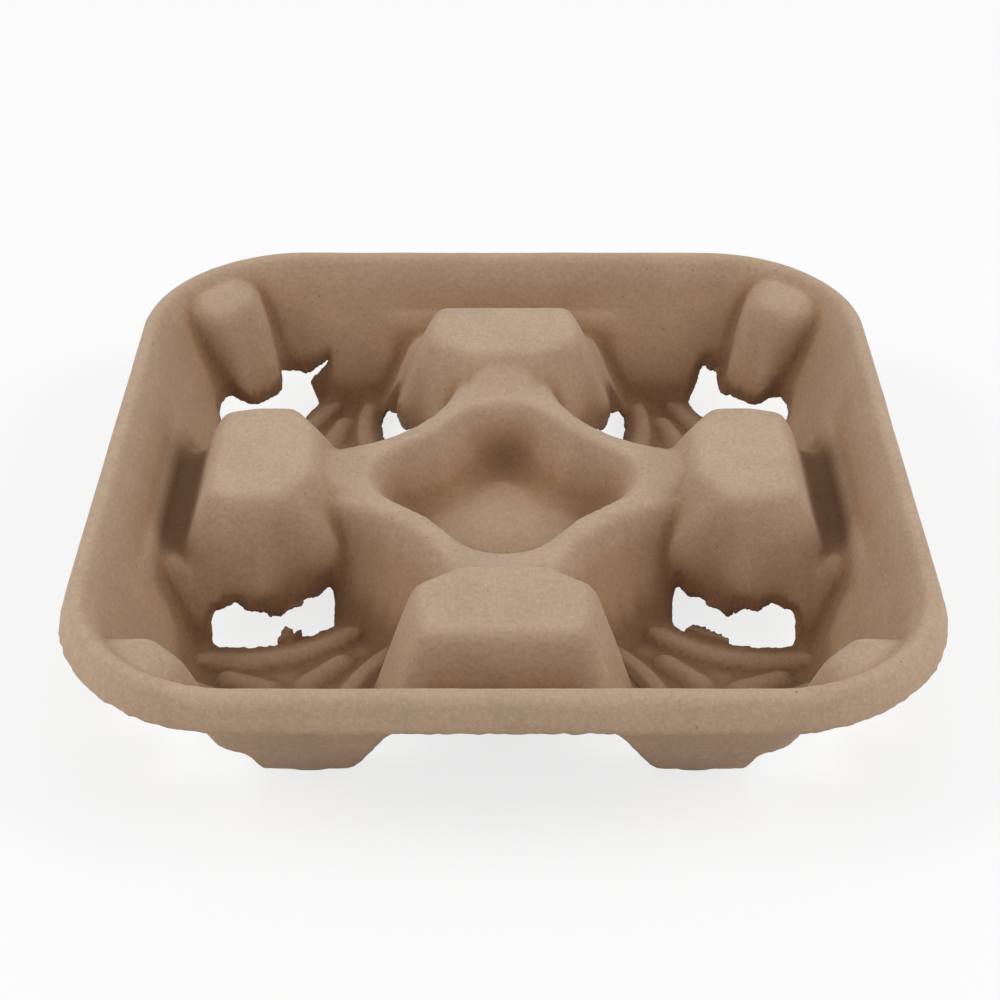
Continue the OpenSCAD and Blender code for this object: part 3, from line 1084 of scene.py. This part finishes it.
    def specks(self, tree: bpy.types.NodeTree, space: bpy.types.NodeSocket) -> bpy.types.NodeSocket:
        """Scatters small dark specks.

        Args:
            tree: Tree of the material.
            space: Position on the tray.

        Returns:
            Share of speck at the surface.
        """
        cells = add_node(
            tree, "ShaderNodeTexVoronoi",
            values={"Scale": per_metre(self.speck_mm)},
            links={"Vector": space},
        ).outputs["Distance"]
        return add_node(
            tree, "ShaderNodeMapRange", values=self.flecks.sockets(), links={"Value": cells},
        ).outputs["Result"]

    def relief(
        self, tree: bpy.types.NodeTree, space: bpy.types.NodeSocket, grain: bpy.types.NodeSocket,
    ) -> bpy.types.NodeSocket:
        """Raises soft lumps and, on them, the felted grain.

        Args:
            tree: Tree of the material.
            space: Position on the tray.
            grain: Pattern of the grain.

        Returns:
            The direction that the surface faces.
        """
        lumps = add_node(
            tree, "ShaderNodeTexNoise",
            values={"Scale": per_metre(self.lump_mm), "Detail": 2.0, "Roughness": 0.5},
            links={"Vector": space},
        ).outputs["Fac"]
        lumpy = add_node(
            tree, "ShaderNodeBump",
            values={"Strength": self.lump_strength, "Distance": self.lump_depth_mm * MM},
            links={"Height": lumps},
        ).outputs["Normal"]
        return add_node(
            tree, "ShaderNodeBump",
            values={"Strength": self.grain_strength, "Distance": self.grain_depth_mm * MM},
            links={"Height": grain, "Normal": lumpy},
        ).outputs["Normal"]


def seen_rays(tree: bpy.types.NodeTree) -> bpy.types.NodeSocket:
    """Tells rays that show a surface to the eye, straight or through gloss or glass, from those that light.

    Args:
        tree: Tree of a floor or of the world.

    Returns:
        One for rays that show, zero for the rest.
    """
    path = add_node(tree, "ShaderNodeLightPath")
    shown = path.outputs["Is Camera Ray"]
    for name in ("Is Glossy Ray", "Is Transmission Ray"):
        shown = add_node(
            tree, "ShaderNodeMath", {"operation": "MAXIMUM"}, links={0: shown, 1: path.outputs[name]},
        ).outputs["Value"]
    return shown


@dataclass(frozen=True)
class PaleFloor:
    """Matte white paper sweep, which the eye sees as white with the object's soft shadow on it."""

    colour: str = "#f5f5f5"
    shadow_share: float = 0.22
    half_m: float = 0.8

    def build(self) -> bpy.types.Object:
        """Builds the floor at the height of the feet.

        Returns:
            The floor.
        """
        material, tree = new_tree("white_paper_sweep")
        lit = add_node(tree, "ShaderNodeBsdfDiffuse", values={"Color": linear(self.colour)})
        white = add_node(tree, "ShaderNodeEmission", values={"Strength": 1.0})
        pale = add_node(
            tree, "ShaderNodeMixShader",
            values={"Fac": self.shadow_share},
            links={1: white.outputs["Emission"], 2: lit.outputs["BSDF"]},
        )
        shown = seen_rays(tree)
        floor_shader = add_node(
            tree, "ShaderNodeMixShader",
            links={"Fac": shown, 1: lit.outputs["BSDF"], 2: pale.outputs["Shader"]},
        )
        add_node(tree, "ShaderNodeOutputMaterial", links={"Surface": floor_shader.outputs["Shader"]})
        reach = self.half_m
        mesh = bpy.data.meshes.new("floor")
        corners = [(-reach, -reach, 0.0), (reach, -reach, 0.0), (reach, reach, 0.0), (-reach, reach, 0.0)]
        mesh.from_pydata(corners, [], [(0, 1, 2, 3)])
        mesh.materials.append(material)
        floor = bpy.data.objects.new("floor", mesh)
        bpy.context.scene.collection.objects.link(floor)
        return floor


@dataclass(frozen=True)
class Studio:
    """Camera, lamps and surrounding light."""

    camera_m: tuple[float, float, float] = (0.0, -0.42616, 0.32853)
    target_m: tuple[float, float, float] = (0.0, 0.0, 0.0154)
    lens_mm: float = 69.08
    shift: tuple[float, float] = (-0.00366, 0.02692)
    left_m: tuple[float, float, float] = (-0.95, -0.2, 0.75)
    left_watts: float = 7.0
    right_m: tuple[float, float, float] = (0.95, -0.2, 0.75)
    right_watts: float = 7.3
    back_m: tuple[float, float, float] = (0.0, 0.75, 0.90)
    back_watts: float = 1.5
    lamp_size_m: float = 0.6
    surround: float = 0.36

    def camera(self) -> None:
        """Places the camera at the photograph's viewing angle."""
        data = bpy.data.cameras.new("camera")
        data.lens = self.lens_mm
        data.shift_x, data.shift_y = self.shift
        data.dof.use_dof = False
        camera = bpy.data.objects.new("camera", data)
        self.aim(camera, self.camera_m)
        bpy.context.scene.camera = camera

    def lights(self) -> None:
        """Stands a soft lamp on either side of the tray and one behind it, in even surrounding light."""
        self.lamp("left_lamp", self.left_m, self.left_watts)
        self.lamp("right_lamp", self.right_m, self.right_watts)
        self.lamp("back_lamp", self.back_m, self.back_watts)
        world = bpy.data.worlds.new("studio")
        world.use_nodes = True
        tree = world.node_tree
        tree.nodes.clear()
        around = add_node(
            tree, "ShaderNodeBackground",
            values={"Color": linear(WHITE), "Strength": self.surround},
        )
        white = add_node(tree, "ShaderNodeBackground", values={"Color": linear(WHITE)})
        both = add_node(
            tree, "ShaderNodeMixShader",
            links={"Fac": seen_rays(tree), 1: around.outputs["Background"], 2: white.outputs["Background"]},
        )
        add_node(tree, "ShaderNodeOutputWorld", links={"Surface": both.outputs["Shader"]})
        bpy.context.scene.world = world

    def lamp(self, name: str, place: tuple[float, float, float], watts: float) -> None:
        """Adds a square soft lamp.

        Args:
            name: Name of the lamp.
            place: Where it stands, in metres.
            watts: Its power.
        """
        data = bpy.data.lights.new(name, "AREA")
        data.shape = "SQUARE"
        data.size = self.lamp_size_m
        data.energy = watts
        self.aim(bpy.data.objects.new(name, data), place)

    def aim(self, thing: bpy.types.Object, place: tuple[float, float, float]) -> None:
        """Places a camera or lamp and points it at the tray.

        Args:
            thing: Camera or lamp.
            place: Where it stands, in metres.
        """
        thing.location = place
        thing.rotation_mode = "QUATERNION"
        thing.rotation_quaternion = (Vector(self.target_m) - Vector(place)).to_track_quat("-Z", "Y")
        bpy.context.scene.collection.objects.link(thing)


def main() -> None:
    """Builds the shell, the floor, the light and the camera."""
    logging.basicConfig(level=logging.INFO)
    bpy.context.scene.view_settings.view_transform = "Standard"
    low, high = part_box(NODE)
    rim = RolledRim(half=(high.x - low.x) / 2 / MM, crest_z=high.z / MM)
    surface = PressedSurface(rim)
    LOG.info("surface: %d of %d raster points lie over an opening", (~surface.seen).sum(), surface.seen.size)
    shell = PulpShell(rim, surface, TORN_PLACES).build(MouldedPulp().material())
    LOG.info("%s: %d triangles", shell.name, len(shell.data.polygons))
    floor = PaleFloor().build()
    LOG.info("%s: stage", floor.name)
    studio = Studio()
    studio.lights()
    studio.camera()


if __name__ == "__main__":
    main()
